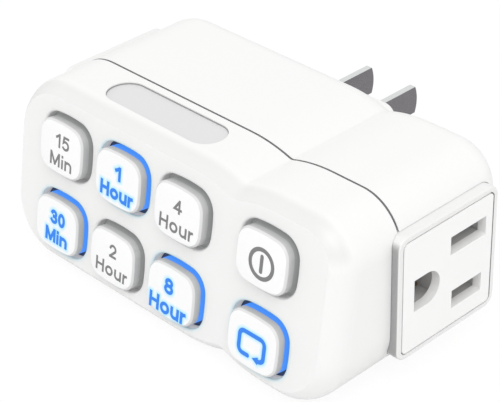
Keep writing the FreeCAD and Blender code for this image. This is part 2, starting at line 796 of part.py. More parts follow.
def make_power_board(line, neutral):
    board = box(power_board_x, (board_front_y, board_back_y), power_board_z)
    holes = [line, neutral]
    holes.append(rod(line_blade_x, -line_lead_drop, lead_radius, (board_front_y, board_back_y)))
    screws = []
    turn = FreeCAD.Rotation(vec(1, 0, 0), -90)
    for x in post_x:
        for z in post_z:
            holes.append(rod(x, z, board_screw_radius + board_screw_clearance, (board_front_y, board_back_y)))
            one = screw(
                0, 0, board_screw_length, board_screw_radius,
                board_screw_head_radius, board_screw_head_height, 0,
            )
            screws.append(placed(one, FreeCAD.Placement(vec(x, board_front_y, z), turn)))
    for x in link_pin_x():
        holes.append(box(around(x, link_pin), (board_front_y, board_back_y), around(mid_z, link_pin)))
    save("power_board", [board.cut(holes)])
    save("power_board_screws", screws)
    save("relay", [component_box(relay_size, relay_place)])
    save("film_capacitor", [component_box(film_capacitor_size, film_capacitor_place)])
    x, z = filter_capacitor_place
    top_y = board_back_y + filter_capacitor_height
    can = rod(x, z, filter_capacitor_radius, (board_back_y, top_y))
    rim = [edge for edge in can.Edges if edge.BoundBox.YMin > top_y - tolerance]
    save("filter_capacitor", [can.makeFillet(component_edge_radius, rim)])
    x, z = varistor_place
    disc_y = board_back_y + varistor_lift + varistor_radius
    disc = peg(x, disc_y, varistor_radius, around(z, varistor_thickness))
    legs = [rod(x + step, z, wire_radius, (board_back_y, disc_y)) for step in around(0, wire_spacing)]
    save("varistor", [disc.makeFillet(component_edge_radius, disc.Edges[:1]).fuse(legs)])
    x, z = fuse_place
    body_y = board_back_y + fuse_radius
    length = fuse_length + 2 * fuse_wire_length
    body = Part.makeCylinder(fuse_radius, fuse_length, vec(x - fuse_length / 2, body_y, z), vec(1, 0, 0))
    wire = Part.makeCylinder(wire_radius, length, vec(x - length / 2, body_y, z), vec(1, 0, 0))
    legs = [rod(x + step, z, wire_radius, (board_back_y, body_y)) for step in around(0, length)]
    save("fuse_resistor", [body.fuse([wire] + legs)])


def link_pin_x():
    middle = (link_pins - 1) / 2
    return [link_x + (index - middle) * link_pitch for index in range(link_pins)]


def link_pins_grown(grow):
    """The header's square pins, from the power board's back to just past the button board."""
    front_y = -face_setback + (button_board_depth - link_pin_stub) / math.cos(math.radians(face_lean))
    size = link_pin + 2 * grow
    return [box(around(x, size), (front_y, board_back_y), around(mid_z, size)) for x in link_pin_x()]


def make_button_board():
    places = board_boss_places()
    reach = board_boss_radius + board_boss_edge
    x_range = (places[0][0] - reach, places[-1][0] + reach)
    z_range = (button_board_back, -button_board_depth)
    board = rounded_box(x_range, around(0, button_board_tall), z_range, button_board_corner, vec(0, 0, 1))
    screws = []
    for x, y in places:
        board = board.cut(peg(x, y, board_screw_radius + board_screw_clearance, (-far, far)))
        screws.append(placed(screw(
            x, y, board_screw_length, board_screw_radius,
            board_screw_head_radius, board_screw_head_height, button_board_back,
        ), face_frame))
    board = placed(board, face_frame).cut(link_pins_grown(link_pin_clearance))
    save("button_board", [board])
    save("button_board_screws", screws)
    switches = []
    leds = []
    for name, x, y in button_places():
        body_range = (-button_board_depth, switch_height - button_board_depth)
        body = box(around(x, switch_size), around(y, switch_size), body_range)
        bore = peg(x, y, stem_radius + stem_clearance, (switch_floor - button_board_depth, 0))
        switches.append(placed(body.cut(bore), face_frame))
        led_range = (-button_board_depth, led_height - button_board_depth)
        for step in (-led_offset, led_offset):
            led = box(around(x + step, led_width), around(y, led_length), led_range)
            leds.append(placed(led, face_frame))
    save("tact_switches", switches)
    save("ring_leds", leds)
    chip_x = column_x[1]
    chip_range = (button_board_back - chip_height, button_board_back)
    chip = box(around(chip_x, chip_size), around(0, chip_size), chip_range)
    legs = []
    leg_range = (button_board_back - chip_leg_thickness, button_board_back)
    for index in range(chip_legs):
        x = chip_x + (index - (chip_legs - 1) / 2) * chip_leg_pitch
        leg_length = chip_size + 2 * chip_leg_length
        legs.append(box(around(x, chip_leg_width), around(0, leg_length), leg_range))
    save("timer_chip", [placed(chip.fuse(legs), face_frame)])
    length = link_pins * link_pitch
    link_range = (board_front_y - link_height, board_front_y)
    body = box(around(link_x, length), link_range, around(mid_z, link_width))
    save("board_link", [body.fuse(link_pins_grown(0))])


def make_button(name, x, y):
    outer = -button_gap
    inner = outer - ring_wall
    ceiling = cap_height - cap_wall
    cap = squircle(outer, (ring_height, cap_height))
    cap = cap.makeChamfer(cap_bevel, edges_at_height(cap, FreeCAD.Placement(), cap_height))
    skirt = squircle(inner - skirt_clearance, (ring_height - skirt_length, ring_height + skirt_clearance))
    hollow = squircle(inner - skirt_clearance - skirt_wall, (ring_height - skirt_length, ceiling))
    post = peg(0, 0, cap_post_radius, (-cap_post_depth, ceiling + skirt_clearance))
    cap = cap.fuse(skirt).cut(hollow).fuse(post).removeSplitter()
    flange_top = -wall - ring_seat_gap
    flange_base = flange_top - ring_flange_thickness
    ring = squircle(outer, (flange_base, ring_height)).fuse(squircle(ring_flange, (flange_base, flange_top)))
    ring = ring.cut(squircle(inner, (flange_base, ring_height)))
    stem = peg(0, 0, stem_radius, (-cap_post_depth - stem_length, -cap_post_depth))
    at_place = face_frame.multiply(FreeCAD.Placement(vec(x, y, 0), FreeCAD.Rotation()))
    save("cap_" + name, [placed(cap, at_place)])
    save("light_ring_" + name, [placed(ring, at_place)])
    save("stem_" + name, [placed(stem, at_place)])


os.makedirs("parts", exist_ok=True)
make_front_cover()
make_rear_housing()
make_cover_screws()
make_plug()
for side, frame in (("right", right_frame), ("left", left_frame)):
    make_bezel(side, frame)
    make_plate(side, frame)
    make_contact_block(side, frame, make_contacts(side, frame))
line_shape, neutral_shape = make_strips()
make_power_board(line_shape, neutral_shape)
make_button_board()
for name, x, y in button_places():
    make_button(name, x, y)
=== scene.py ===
import bmesh
import bpy
import math
from mathutils import Matrix, Vector
from mathutils.kdtree import KDTree


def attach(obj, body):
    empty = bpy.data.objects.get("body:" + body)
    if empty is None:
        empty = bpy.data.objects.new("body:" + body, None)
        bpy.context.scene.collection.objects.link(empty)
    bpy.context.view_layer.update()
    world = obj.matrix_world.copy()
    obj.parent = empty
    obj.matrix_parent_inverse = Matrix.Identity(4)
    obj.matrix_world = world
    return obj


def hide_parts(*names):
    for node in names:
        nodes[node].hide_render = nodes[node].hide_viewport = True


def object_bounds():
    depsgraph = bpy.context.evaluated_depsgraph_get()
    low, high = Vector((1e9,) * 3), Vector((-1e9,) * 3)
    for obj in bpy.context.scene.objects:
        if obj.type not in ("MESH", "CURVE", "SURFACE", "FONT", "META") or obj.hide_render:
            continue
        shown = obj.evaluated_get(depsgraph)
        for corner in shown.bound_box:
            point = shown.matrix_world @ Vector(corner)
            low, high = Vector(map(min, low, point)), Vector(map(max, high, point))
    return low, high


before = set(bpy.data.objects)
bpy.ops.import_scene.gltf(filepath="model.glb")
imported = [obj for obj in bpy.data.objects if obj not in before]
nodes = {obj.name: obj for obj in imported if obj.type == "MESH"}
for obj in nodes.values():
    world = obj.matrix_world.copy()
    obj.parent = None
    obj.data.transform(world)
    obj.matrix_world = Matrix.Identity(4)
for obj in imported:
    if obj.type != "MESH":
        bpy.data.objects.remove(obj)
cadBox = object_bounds()
bpy.context.scene.view_settings.view_transform = "Standard"
print("frame loaded:", len(nodes), "nodes")

# The front face leans back, so everything on it is drawn flat in millimetres and then stood up.
face = {"setback": 53.88, "drop": 4.25, "lean": 9.86, "wellWide": 15.24, "wellTall": 13.5}
onFace = (
    Matrix.Scale(0.001, 4)
    @ Matrix.Translation((0, -face["setback"], -face["drop"]))
    @ Matrix.Rotation(math.radians(90 - face["lean"]), 4, "X")
)
capTop = 2.0  # how far the caps stand out of the face

# each button's column and row
columns = (-26.44, -8.76, 8.92, 31.94)
rows = (8.715, -8.715)
buttons = {
    "15_min": (0, 0), "1_hour": (1, 0), "4_hour": (2, 0), "power": (3, 0),
    "30_min": (0, 1), "2_hour": (1, 1), "8_hour": (2, 1), "repeat": (3, 1),
}
litButtons = ("1_hour", "30_min", "8_hour", "repeat")


def buttonPlace(name):
    column, row = buttons[name]
    return columns[column], rows[row]


def hexColour(text):
    # sRGB hex to the linear colour that shaders want
    parts = [int(text[i:i + 2], 16) / 255 for i in (0, 2, 4)]
    return [p / 12.92 if p <= 0.04045 else ((p + 0.055) / 1.055) ** 2.4 for p in parts] + [1.0]


def addNode(tree, kind, inputs=None, **settings):
    node = tree.nodes.new(kind)
    for key, value in settings.items():
        setattr(node, key, value)
    for key, value in (inputs or {}).items():
        if isinstance(value, bpy.types.NodeSocket):
            tree.links.new(value, node.inputs[key])
        else:
            node.inputs[key].default_value = value
    return node


def newMaterial(name, colour, roughness, **sockets):
    # a Principled shader with its plain values on its own sockets
    made = bpy.data.materials.new(name)
    made.use_nodes = True
    shader = made.node_tree.nodes["Principled BSDF"]
    shader.inputs["Base Color"].default_value = hexColour(colour)
    shader.inputs["Roughness"].default_value = roughness
    for key, value in sockets.items():
        shader.inputs[key.replace("_", " ")].default_value = value
    made.diffuse_color = hexColour(colour)
    return made, made.node_tree, shader


def giveMaterial(piece, material):
    piece.data.materials.clear()
    piece.data.materials.append(material)


def finishPiece(name, bm, place, material, body, smoothAngle, replaced=()):
    # closes a bmesh drawn in millimetres into a piece that rides on its body
    bmesh.ops.remove_doubles(bm, verts=bm.verts, dist=0.0005)
    bmesh.ops.transform(bm, matrix=place, verts=bm.verts)
    bmesh.ops.recalc_face_normals(bm, faces=bm.faces)
    mesh = bpy.data.meshes.new(name)
    bm.to_mesh(mesh)
    bm.free()
    piece = bpy.data.objects.new(name, mesh)
    bpy.context.scene.collection.objects.link(piece)
    mesh.shade_smooth()
    mesh.set_sharp_from_angle(angle=math.radians(smoothAngle))
    giveMaterial(piece, material)
    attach(piece, body)
    if replaced:
        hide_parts(*replaced)
    return piece


# Camera at the photograph's place, 129 mm lens

camera = {
    "place": (0.229817, -0.242339, 0.192213), "azimuth": 46.803, "elevation": 32.562, "roll": -1.802,
    "lens": 129.37, "sensor": 36, "near": 0.01,
}


def makeCamera():
    turn, tilt = math.radians(camera["azimuth"]), math.radians(camera["elevation"])
    back = Vector((math.sin(turn) * math.cos(tilt), -math.cos(turn) * math.cos(tilt), math.sin(tilt)))
    right = (-back).cross(Vector((0, 0, 1))).normalized()
    up = right.cross(-back)
    stand = Matrix((right, up, back)).transposed().to_4x4()
    data = bpy.data.cameras.new("camera")
    data.sensor_width = camera["sensor"]
    data.lens = camera["lens"]
    data.clip_start = camera["near"]
    seen = bpy.data.objects.new("camera", data)
    bpy.context.scene.collection.objects.link(seen)
    roll = Matrix.Rotation(math.radians(camera["roll"]), 4, "Z")
    seen.matrix_world = Matrix.Translation(camera["place"]) @ stand @ roll
    bpy.context.scene.camera = seen


makeCamera()
print("camera set")

# Plain pale table and soft light from the upper left

studio = {
    "worldStrength": 0.78, "floorColour": "F2F2F2", "floorRoughness": 0.9, "floorSize": 6.0,
    "floorGap": 0.00002,  # a hair under the part, so that the two faces don't flicker
    "whiteShare": 0.9, "whiteGlow": 1.02,
    "keyPlace": (0.6, -0.5, 1.15), "keySize": 0.9, "keyPower": 6.8,
    "fillPlace": (-0.8, -0.5, 0.5), "fillSize": 0.8, "fillPower": 0.6,
}
white = (1, 1, 1, 1)


def areaLight(name, place, size, power):
    data = bpy.data.lights.new(name, "AREA")
    data.shape = "SQUARE"
    data.size = size
    data.energy = power
    lamp = bpy.data.objects.new(name, data)
    bpy.context.scene.collection.objects.link(lamp)
    lamp.matrix_world = Matrix.Translation(place) @ Vector(place).to_track_quat("Z", "Y").to_matrix().to_4x4()


def makeRoom():
    # the room lights the part softly, and is plain white where the camera, metal or glass shows it
    world = bpy.data.worlds.new("softWhiteRoom")
    bpy.context.scene.world = world
    world.use_nodes = True
    tree = world.node_tree
    tree.nodes.clear()
    rays = addNode(tree, "ShaderNodeLightPath").outputs
    direct = rays["Is Camera Ray"]
    for kind in ("Is Glossy Ray", "Is Transmission Ray"):
        direct = addNode(tree, "ShaderNodeMath", {0: direct, 1: rays[kind]}, operation="MAXIMUM").outputs[0]
    lit = addNode(tree, "ShaderNodeBackground", {"Color": white, "Strength": studio["worldStrength"]})
    seen = addNode(tree, "ShaderNodeBackground", {"Color": white, "Strength": 1.0})
    mixed = addNode(tree, "ShaderNodeMixShader", {0: direct, 1: lit.outputs[0], 2: seen.outputs[0]})
    addNode(tree, "ShaderNodeOutputWorld", {"Surface": mixed.outputs[0]})


def makeTable():
    # a painted table top that the camera sees nearly white, with the part's soft shadow on it
    floorMaterial, tree, shader = newMaterial("paintedTable", studio["floorColour"], studio["floorRoughness"])
    rays = addNode(tree, "ShaderNodeLightPath")
    glow = addNode(tree, "ShaderNodeEmission", {"Color": white, "Strength": studio["whiteGlow"]})
    share = addNode(
        tree, "ShaderNodeMath", {0: rays.outputs["Is Camera Ray"], 1: studio["whiteShare"]},
        operation="MULTIPLY",
    )
    mixed = addNode(
        tree, "ShaderNodeMixShader", {0: share.outputs[0], 1: shader.outputs[0], 2: glow.outputs[0]}
    )
    tree.links.new(mixed.outputs[0], tree.nodes["Material Output"].inputs["Surface"])

    bm = bmesh.new()
    bmesh.ops.create_circle(bm, cap_ends=True, radius=studio["floorSize"], segments=64)
    bmesh.ops.translate(bm, verts=bm.verts, vec=(0, 0, cadBox[0][2] - studio["floorGap"]))
    mesh = bpy.data.meshes.new("table")
    bm.to_mesh(mesh)
    bm.free()
    table = bpy.data.objects.new("table", mesh)
    bpy.context.scene.collection.objects.link(table)
    giveMaterial(table, floorMaterial)


makeRoom()
makeTable()
areaLight("keyLight", studio["keyPlace"], studio["keySize"], studio["keyPower"])
areaLight("fillLight", studio["fillPlace"], studio["fillSize"], studio["fillPower"])
print("studio lit")

# Materials. Real grains are too fine to show in the render, so each is drawn as coarse as it needs to show.


def millimetres(tree, location=(0, 0, 0), rotation=(0, 0, 0)):
    # the piece's own coordinates in millimetres, centred or turned where a pattern needs it
    where = addNode(tree, "ShaderNodeTexCoord").outputs["Object"]
    return addNode(
        tree, "ShaderNodeMapping",
        {"Vector": where, "Location": location, "Rotation": rotation, "Scale": (1000, 1000, 1000)},
    ).outputs[0]


def faceMillimetres(tree):
    # millimetres across, up and out of the front face
    return millimetres(tree, onFace.inverted().translation, (math.radians(face["lean"] - 90), 0, 0))


def heightOnFace(tree):
    return addNode(tree, "ShaderNodeSeparateXYZ", {0: faceMillimetres(tree)}).outputs[2]


def facingParts(tree):
    # how far the surface faces along x, y and z
    normal = addNode(tree, "ShaderNodeNewGeometry").outputs["Normal"]
    return addNode(tree, "ShaderNodeSeparateXYZ", {0: normal}).outputs


def addGrain(tree, grainMm, depthMm, strength, detail=3):
    # a surface's grain as bump, its scale from the width of one grain
    grain = addNode(
        tree, "ShaderNodeTexNoise", {"Vector": millimetres(tree), "Scale": 1 / grainMm, "Detail": detail}
    )
    bump = addNode(
        tree, "ShaderNodeBump", {"Height": grain.outputs[0], "Strength": strength, "Distance": depthMm / 1000}
    )
    tree.links.new(bump.outputs[0], tree.nodes["Principled BSDF"].inputs["Normal"])


absFinish = {
    "colour": "F3F3F2", "roughness": 0.36, "drift": (0.33, 0.4), "driftMm": 20,
    "grainMm": 0.35, "grainDepthMm": 0.006, "grainStrength": 0.25,
}
# the axis of the surface's normal, and where on it the roll's painted shade starts and is full
rollPaintedShade = {"colour": "E7E7E6", "limits": ((1, -0.95, -0.82), (1, -0.1, -0.4), (2, 0.2, 0.5))}
# colour of the painted shadow on the lip inside the gap between the two halves
seam = {"setback": 35.6, "half": 0.252, "colour": "AEAEAE"}
# centre-line distances, heights and colour, for the recess's floor and the painted shadow in its corner
recess = {
    "middle": (-7.1, -41.95), "halfRun": 11.75,
    "floor": ((-1.0, 4.37), (15.3, 15.42), "DEDEDE"), "corner": ((4.22, 4.5), (15.3, 15.62), "A6A6A6"),
}


def mouldedAbs():
    # Injection-moulded white ABS: satin, with the fine matt grain that a spark-eroded mould leaves.
    made, tree, shader = newMaterial("mouldedAbs", absFinish["colour"], absFinish["roughness"], IOR=1.54)
    addGrain(tree, absFinish["grainMm"], absFinish["grainDepthMm"], absFinish["grainStrength"], detail=2)
    low, high = absFinish["drift"]
    cloud = addNode(
        tree, "ShaderNodeTexNoise",
        {"Vector": millimetres(tree), "Scale": 1 / absFinish["driftMm"], "Detail": 3},
    )
    rough = addNode(tree, "ShaderNodeMapRange", {0: cloud.outputs[0], 1: 0.3, 2: 0.7, 3: low, 4: high})
    tree.links.new(rough.outputs[0], shader.inputs["Roughness"])

    # painted shade: the rolled edge above the sloping face is a touch greyer than the flats
    facing = facingParts(tree)
    share = 1.0
    for axis, begins, full in rollPaintedShade["limits"]:
        limit = addNode(
            tree, "ShaderNodeMapRange", {0: facing[axis], 1: begins, 2: full}, interpolation_type="SMOOTHSTEP"
        )
        both = addNode(tree, "ShaderNodeMath", {0: limit.outputs[0], 1: share}, operation="MULTIPLY")
        share = both.outputs[0]
    plain, tint = hexColour(absFinish["colour"]), hexColour(rollPaintedShade["colour"])
    colour = addNode(tree, "ShaderNodeMix", {0: share, 6: plain, 7: tint}, data_type="RGBA").outputs[2]

    # the oval recess's floor is a little greyer than the rest, with a painted soft shadow in its corner
    x, y = recess["middle"]
    parts = addNode(tree, "ShaderNodeSeparateXYZ", {0: millimetres(tree, (-x, -y, 0))})
    across = addNode(tree, "ShaderNodeMath", {0: parts.outputs[0]}, operation="ABSOLUTE")
    past = addNode(tree, "ShaderNodeMath", {0: across.outputs[0], 1: recess["halfRun"]}, operation="SUBTRACT")
    beyond = addNode(tree, "ShaderNodeMath", {0: past.outputs[0], 1: 0.0}, operation="MAXIMUM")
    flat = addNode(tree, "ShaderNodeCombineXYZ", {0: beyond.outputs[0], 1: parts.outputs[1]})
    distance = addNode(tree, "ShaderNodeVectorMath", {0: flat.outputs[0]}, operation="LENGTH")
    for span, heights, tone in (recess["floor"], recess["corner"]):
        inside = 1.0
        for value, (low, high) in ((distance.outputs["Value"], span), (parts.outputs[2], heights)):
            for limit, test in ((low, "GREATER_THAN"), (high, "LESS_THAN")):
                side = addNode(tree, "ShaderNodeMath", {0: value, 1: limit}, operation=test)
                both = addNode(tree, "ShaderNodeMath", {0: side.outputs[0], 1: inside}, operation="MULTIPLY")
                inside = both.outputs[0]
        mixed = addNode(tree, "ShaderNodeMix", {0: inside, 6: colour, 7: hexColour(tone)}, data_type="RGBA")
        colour = mixed.outputs[2]

    # painted shadow: the lip inside the gap between the two halves is painted grey
    parts = addNode(tree, "ShaderNodeSeparateXYZ", {0: millimetres(tree, (0, seam["setback"], 0))})
    fromSeam = addNode(tree, "ShaderNodeMath", {0: parts.outputs[1]}, operation="ABSOLUTE")
    inSeam = addNode(tree, "ShaderNodeMath", {0: fromSeam.outputs[0], 1: seam["half"]}, operation="LESS_THAN")
    shaded = addNode(
        tree, "ShaderNodeMix", {0: inSeam.outputs[0], 6: colour, 7: hexColour(seam["colour"])},
        data_type="RGBA",
    )
    tree.links.new(shaded.outputs[2], shader.inputs["Base Color"])
    return made, tree, shader


# the painted glow fades from the well's edge to "fade" times its half size; heights are out of the face
paintedRimGlow = {
    "squareness": 2.9, "fade": 1.16, "tint": 0.5, "tintColour": "B4E9F7", "tintFrom": -0.35,
    "wallGlow": 0.34, "wallColour": "F6F2E6", "wallTop": (-0.2, -0.5), "wallFoot": (-2.2, -1.8),
}


def paintedRimGlowAbs():
    # The front cover's ABS, with painted light round the four lit wells.
    made, tree, shader = mouldedAbs()
    made.name = "mouldedAbsPaintedRimGlow"
    onTheFace = faceMillimetres(tree)
    halfWide, halfTall = face["wellWide"] / 2, face["wellTall"] / 2
    glow = 0.0
    for name in litButtons:
        x, y = buttonPlace(name)
        centred = addNode(
            tree, "ShaderNodeMapping",
            {
                "Vector": onTheFace, "Location": (-x / halfWide, -y / halfTall, 0),
                "Scale": (1 / halfWide, 1 / halfTall, 0),
            },
        )
        parts = addNode(tree, "ShaderNodeSeparateXYZ", {0: centred.outputs[0]})
        total = 0.0
        for part in parts.outputs[:2]:
            size = addNode(tree, "ShaderNodeMath", {0: part}, operation="ABSOLUTE")
            power = addNode(
                tree, "ShaderNodeMath", {0: size.outputs[0], 1: paintedRimGlow["squareness"]}, operation="POWER"
            )
            both = addNode(tree, "ShaderNodeMath", {0: power.outputs[0], 1: total}, operation="ADD")
            total = both.outputs[0]
        reach = addNode(tree, "ShaderNodeMath", {0: total, 1: 1 / paintedRimGlow["squareness"]}, operation="POWER")
        fade = addNode(
            tree, "ShaderNodeMapRange", {0: reach.outputs[0], 1: 1.0, 2: paintedRimGlow["fade"], 3: 1.0, 4: 0.0},
            interpolation_type="SMOOTHSTEP",
        )
        glow = addNode(tree, "ShaderNodeMath", {0: fade.outputs[0], 1: glow}, operation="MAXIMUM").outputs[0]

    # painted light: the face and the top of the wall round each lit well are tinted pale blue
    height = addNode(tree, "ShaderNodeSeparateXYZ", {0: onTheFace}).outputs[2]
    onLip = addNode(tree, "ShaderNodeMath", {0: height, 1: paintedRimGlow["tintFrom"]}, operation="GREATER_THAN")
    tint = paintedRimGlow["tint"]
    for part in (glow, onLip.outputs[0]):
        tint = addNode(tree, "ShaderNodeMath", {0: part, 1: tint}, operation="MULTIPLY").outputs[0]
    plain = shader.inputs["Base Color"].links[0].from_socket
    tinted = addNode(
        tree, "ShaderNodeMix", {0: tint, 6: plain, 7: hexColour(paintedRimGlow["tintColour"])}, data_type="RGBA"
    )
    tree.links.new(tinted.outputs[2], shader.inputs["Base Color"])

    # painted light: the wells' walls glow faintly below the lip, fading out towards the top and the foot
    wallGlow = glow
    for begins, full in (paintedRimGlow["wallTop"], paintedRimGlow["wallFoot"]):
        limit = addNode(tree, "ShaderNodeMapRange", {0: height, 1: begins, 2: full})
        both = addNode(tree, "ShaderNodeMath", {0: limit.outputs[0], 1: wallGlow}, operation="MULTIPLY")
        wallGlow = both.outputs[0]
    passed = addNode(tree, "ShaderNodeMath", {0: wallGlow, 1: paintedRimGlow["wallGlow"]}, operation="MULTIPLY")
    shader.inputs["Emission Color"].default_value = hexColour(paintedRimGlow["wallColour"])
    tree.links.new(passed.outputs[0], shader.inputs["Emission Strength"])
    return made


# bands of colour up the cap, by the share of its height: sides, bevel and top face
capFinish = {
    "roughness": 0.3, "grainMm": 0.4, "grainDepthMm": 0.005, "grainStrength": 0.15, "paintedHaloColour": "A6EAFF",
    "bands": ((0.0, "B8B9B9"), (0.76, "C0C0C0"), (0.79, "DADADA"), (0.975, "E0E0E0"), (0.99, "FAFAFA")),
}


def capAbs(lit):
    # Two-shot cap: a white top face, a pale bevelled edge and grey translucent sides.
    name, topColour = "capAbsLit" if lit else "capAbs", capFinish["bands"][-1][1]
    made, tree, shader = newMaterial(name, topColour, capFinish["roughness"], IOR=1.54)
    share = addNode(tree, "ShaderNodeMapRange", {0: heightOnFace(tree), 1: 0.0, 2: capTop})
    ramp = addNode(tree, "ShaderNodeValToRGB", {0: share.outputs[0]})
    stops = ramp.color_ramp.elements
    stops.remove(stops[1])
    for position, colour in capFinish["bands"]:
        stop = stops.new(position) if position else stops[0]
        stop.color = hexColour(colour)
    tree.links.new(ramp.outputs[0], shader.inputs["Base Color"])
    addGrain(tree, capFinish["grainMm"], capFinish["grainDepthMm"], capFinish["grainStrength"], detail=2)
    # painted light: on lit caps the top face is tinted pale blue round the legend
    if lit:
        halo = addNode(tree, "ShaderNodeAttribute", attribute_name="legendGlow", attribute_type="GEOMETRY")
        tint = addNode(
            tree, "ShaderNodeMix",
            {0: halo.outputs["Fac"], 6: ramp.outputs[0], 7: hexColour(capFinish["paintedHaloColour"])},
            data_type="RGBA",
        )
        tree.links.new(tint.outputs[2], shader.inputs["Base Color"])
    return made


def plainMaterial(name, colour, roughness, grainMm, grainDepthMm, tintTo=None, **sockets):
    # a moulded or coated surface with an even grain, and where tintTo is given a slight drift of tone
    made, tree, shader = newMaterial(name, colour, roughness, **sockets)
    addGrain(tree, grainMm, grainDepthMm, strength=0.5)
    if tintTo:
        driftMm = 2.5
        drift = addNode(
            tree, "ShaderNodeTexNoise", {"Vector": millimetres(tree), "Scale": 1 / driftMm, "Detail": 4}
        )
        colours = addNode(
            tree, "ShaderNodeMix",
            {0: drift.outputs[0], 6: hexColour(colour), 7: hexColour(tintTo)}, data_type="RGBA",
        )
        tree.links.new(colours.outputs[2], shader.inputs["Base Color"])
    return made


# heights are out of the face; the lit ring lights its neighbours less than it shines to the eye
ringFinish = {
    "offColour": "7E8081", "offGlow": 0.13, "litColour": "0E2A54", "glowColour": "418FFA",
    "foot": (-2.1, -1.7), "glow": (0.05, 0.92), "onNeighbours": 0.15,
}


def ringPolycarbonate(lit):
    # Diffusing polycarbonate light ring: glows blue when lit, and is a smoky grey when off.
    if not lit:
        # painted light: the unlit ring still glows faintly white
        made = plainMaterial("ringPolycarbonate", ringFinish["offColour"], 0.35, 0.5, 0.004, IOR=1.585)
        shader = made.node_tree.nodes["Principled BSDF"]
        shader.inputs["Emission Color"].default_value = white
        shader.inputs["Emission Strength"].default_value = ringFinish["offGlow"]
        return made
    made, tree, shader = newMaterial("ringPolycarbonateLit", ringFinish["litColour"], 0.4, IOR=1.585)
    # painted shade: the lit ring's glow is dimmed towards its foot, deep in the well
    (begins, full), (weak, strong) = ringFinish["foot"], ringFinish["glow"]
    fade = addNode(
        tree, "ShaderNodeMapRange", {0: heightOnFace(tree), 1: begins, 2: full, 3: weak, 4: strong}
    )
    rays = addNode(tree, "ShaderNodeLightPath")
    share = addNode(
        tree, "ShaderNodeMapRange", {0: rays.outputs["Is Camera Ray"], 3: ringFinish["onNeighbours"], 4: 1.0}
    )
    shone = addNode(tree, "ShaderNodeMath", {0: fade.outputs[0], 1: share.outputs[0]}, operation="MULTIPLY")
    shader.inputs["Emission Color"].default_value = hexColour(ringFinish["glowColour"])
    tree.links.new(shone.outputs[0], shader.inputs["Emission Strength"])
    return made


legendFinish = {"inkColour": "7C7C7C", "litColour": "0A2650", "glowColour": "3988F2", "glow": 0.9}


def legendInk(lit):
    # Pad-printed legend: matt grey ink, or a clear window with blue light behind it.
    if not lit:
        return plainMaterial("legendInk", legendFinish["inkColour"], 0.5, 0.2, 0.002, IOR=1.5)
    made, tree, shader = newMaterial("legendLight", legendFinish["litColour"], 0.5, Specular_IOR_Level=0.2)
    shader.inputs["Emission Color"].default_value = hexColour(legendFinish["glowColour"])
    shader.inputs["Emission Strength"].default_value = legendFinish["glow"]
    return made


# painted shade: the bezel's colour, and the grey of its forward side
bezelFinish = {"colour": "EDEDEC", "paintedShadeColour": "A2A2A2", "forward": (-0.75, -1.0)}


def paintedShadeBezelAbs():
    # The same white ABS, painted a touch greyer as painted shade.
    # painted shade: the narrow side that faces forward is painted grey, for the corner behind the cover
    made = plainMaterial("bezelAbs", bezelFinish["colour"], 0.34, 0.35, 0.006, IOR=1.54)
    tree = made.node_tree
    begins, full = bezelFinish["forward"]
    forward = addNode(tree, "ShaderNodeMapRange", {0: facingParts(tree)[1], 1: begins, 2: full})
    colours = [hexColour(bezelFinish[key]) for key in ("colour", "paintedShadeColour")]
    mixed = addNode(
        tree, "ShaderNodeMix", {0: forward.outputs[0], 6: colours[0], 7: colours[1]}, data_type="RGBA"
    )
    tree.links.new(mixed.outputs[2], tree.nodes["Principled BSDF"].inputs["Base Color"])
    return made


bladeFinish = {
    "flatColour": "7E7B7F", "edgeHighlightColour": "DADCDC", "edgeFrom": (0.6, 0.8),
    "streaksPerMm": (9, 0.35, 9), "streakDepthMm": 0.008, "roughness": (0.22, 0.42),
}


def brushedNickel():
    # Nickel-plated brass blades: drawn strip, its flats painted dark as a painted reflection.
    # painted highlight: the edges that face up and down are painted bright
    made, tree, shader = newMaterial("brushedNickel", bladeFinish["flatColour"], 0.32, Metallic=1.0)
    upward = addNode(tree, "ShaderNodeMath", {0: facingParts(tree)[2]}, operation="ABSOLUTE")
    begins, full = bladeFinish["edgeFrom"]
    edge = addNode(tree, "ShaderNodeMapRange", {0: upward.outputs[0], 1: begins, 2: full})
    colours = [hexColour(bladeFinish[key]) for key in ("flatColour", "edgeHighlightColour")]
    mixed = addNode(
        tree, "ShaderNodeMix", {0: edge.outputs[0], 6: colours[0], 7: colours[1]}, data_type="RGBA"
    )
    tree.links.new(mixed.outputs[2], shader.inputs["Base Color"])
    along = addNode(
        tree, "ShaderNodeVectorMath", {0: millimetres(tree), 1: bladeFinish["streaksPerMm"]},
        operation="MULTIPLY",
    )
    streak = addNode(tree, "ShaderNodeTexNoise", {"Vector": along.outputs[0], "Scale": 1.0, "Detail": 3})
    low, high = bladeFinish["roughness"]
    rough = addNode(tree, "ShaderNodeMapRange", {0: streak.outputs[0], 1: 0.3, 2: 0.7, 3: low, 4: high})
    tree.links.new(rough.outputs[0], shader.inputs["Roughness"])
    bump = addNode(
        tree, "ShaderNodeBump",
        {"Height": streak.outputs[0], "Strength": 0.2, "Distance": bladeFinish["streakDepthMm"] / 1000},
    )
    tree.links.new(bump.outputs[0], shader.inputs["Normal"])
    return made


bodyAbs = mouldedAbs()[0]
coverAbs = paintedRimGlowAbs()
bezelAbs = paintedShadeBezelAbs()
capOff, capLit = capAbs(False), capAbs(True)
ringOff, ringLit = ringPolycarbonate(False), ringPolycarbonate(True)
inkOff, inkLit = legendInk(False), legendInk(True)
nickel = brushedNickel()

